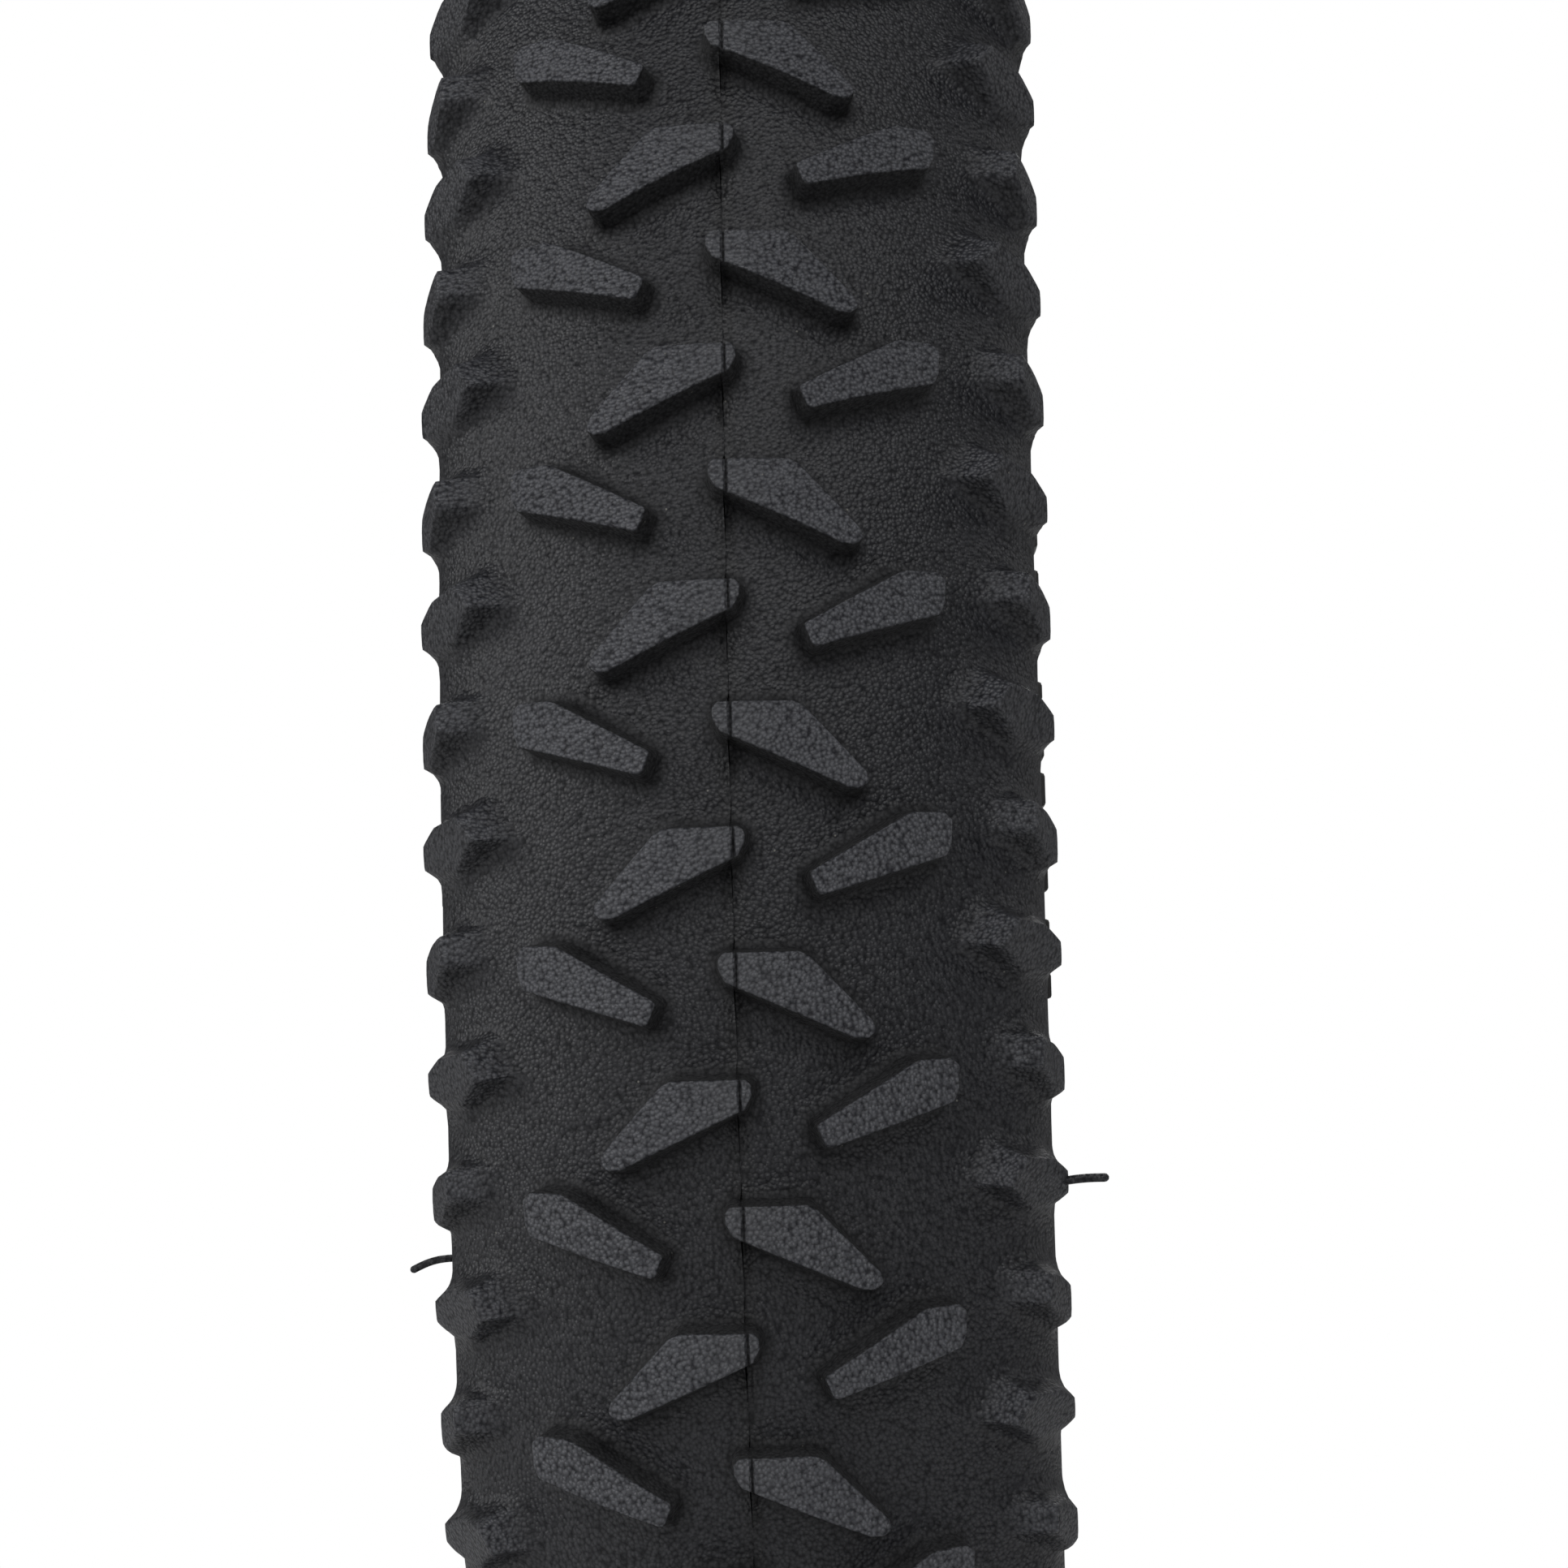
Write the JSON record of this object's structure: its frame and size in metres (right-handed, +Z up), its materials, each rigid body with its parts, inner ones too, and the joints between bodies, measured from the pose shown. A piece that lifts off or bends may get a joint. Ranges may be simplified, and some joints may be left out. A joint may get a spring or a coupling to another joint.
{
  "type": "bicycle tire",
  "caption": "Knobby wired-on tyre for a small bicycle wheel, with angled block tread, cord plies and steel bead hoops.",
  "frame": {"origin": "centre of the tyre, on the axle line, midway between the beads", "axes": "+Y along the axle line, the tyre spins about it; +Z up, with the tyre standing on its tread; the tread's slanted knobs point down at +X"},
  "size_m": [0.4038, 0.0514, 0.4038],
  "materials": {
    "tread_rubber": "matte, finely pebbled black rubber",
    "sidewall_rubber": "smooth satin black rubber",
    "rubbered_cord": "rubber-coated nylon cord cloth",
    "filler_rubber": "hard matte rubber",
    "chafer_cloth": "rubber-coated plain weave",
    "bead_wire_steel": "coppered drawn wire",
    "ferrule_steel": "zinc-plated, crimped"
  },
  "bodies": {
    "root": {"tread": "tread_rubber", "sidewall_left": "sidewall_rubber", "sidewall_right": "sidewall_rubber", "casing_ply_outer": "rubbered_cord", "casing_ply_inner": "rubbered_cord", "bead_filler_left": "filler_rubber", "bead_filler_right": "filler_rubber", "chafer_left": "chafer_cloth", "chafer_right": "chafer_cloth", "bead_wire_left": "bead_wire_steel", "bead_wire_right": "bead_wire_steel", "bead_ferrule_left": "ferrule_steel", "bead_ferrule_right": "ferrule_steel"}
  },
  "joints": []
}
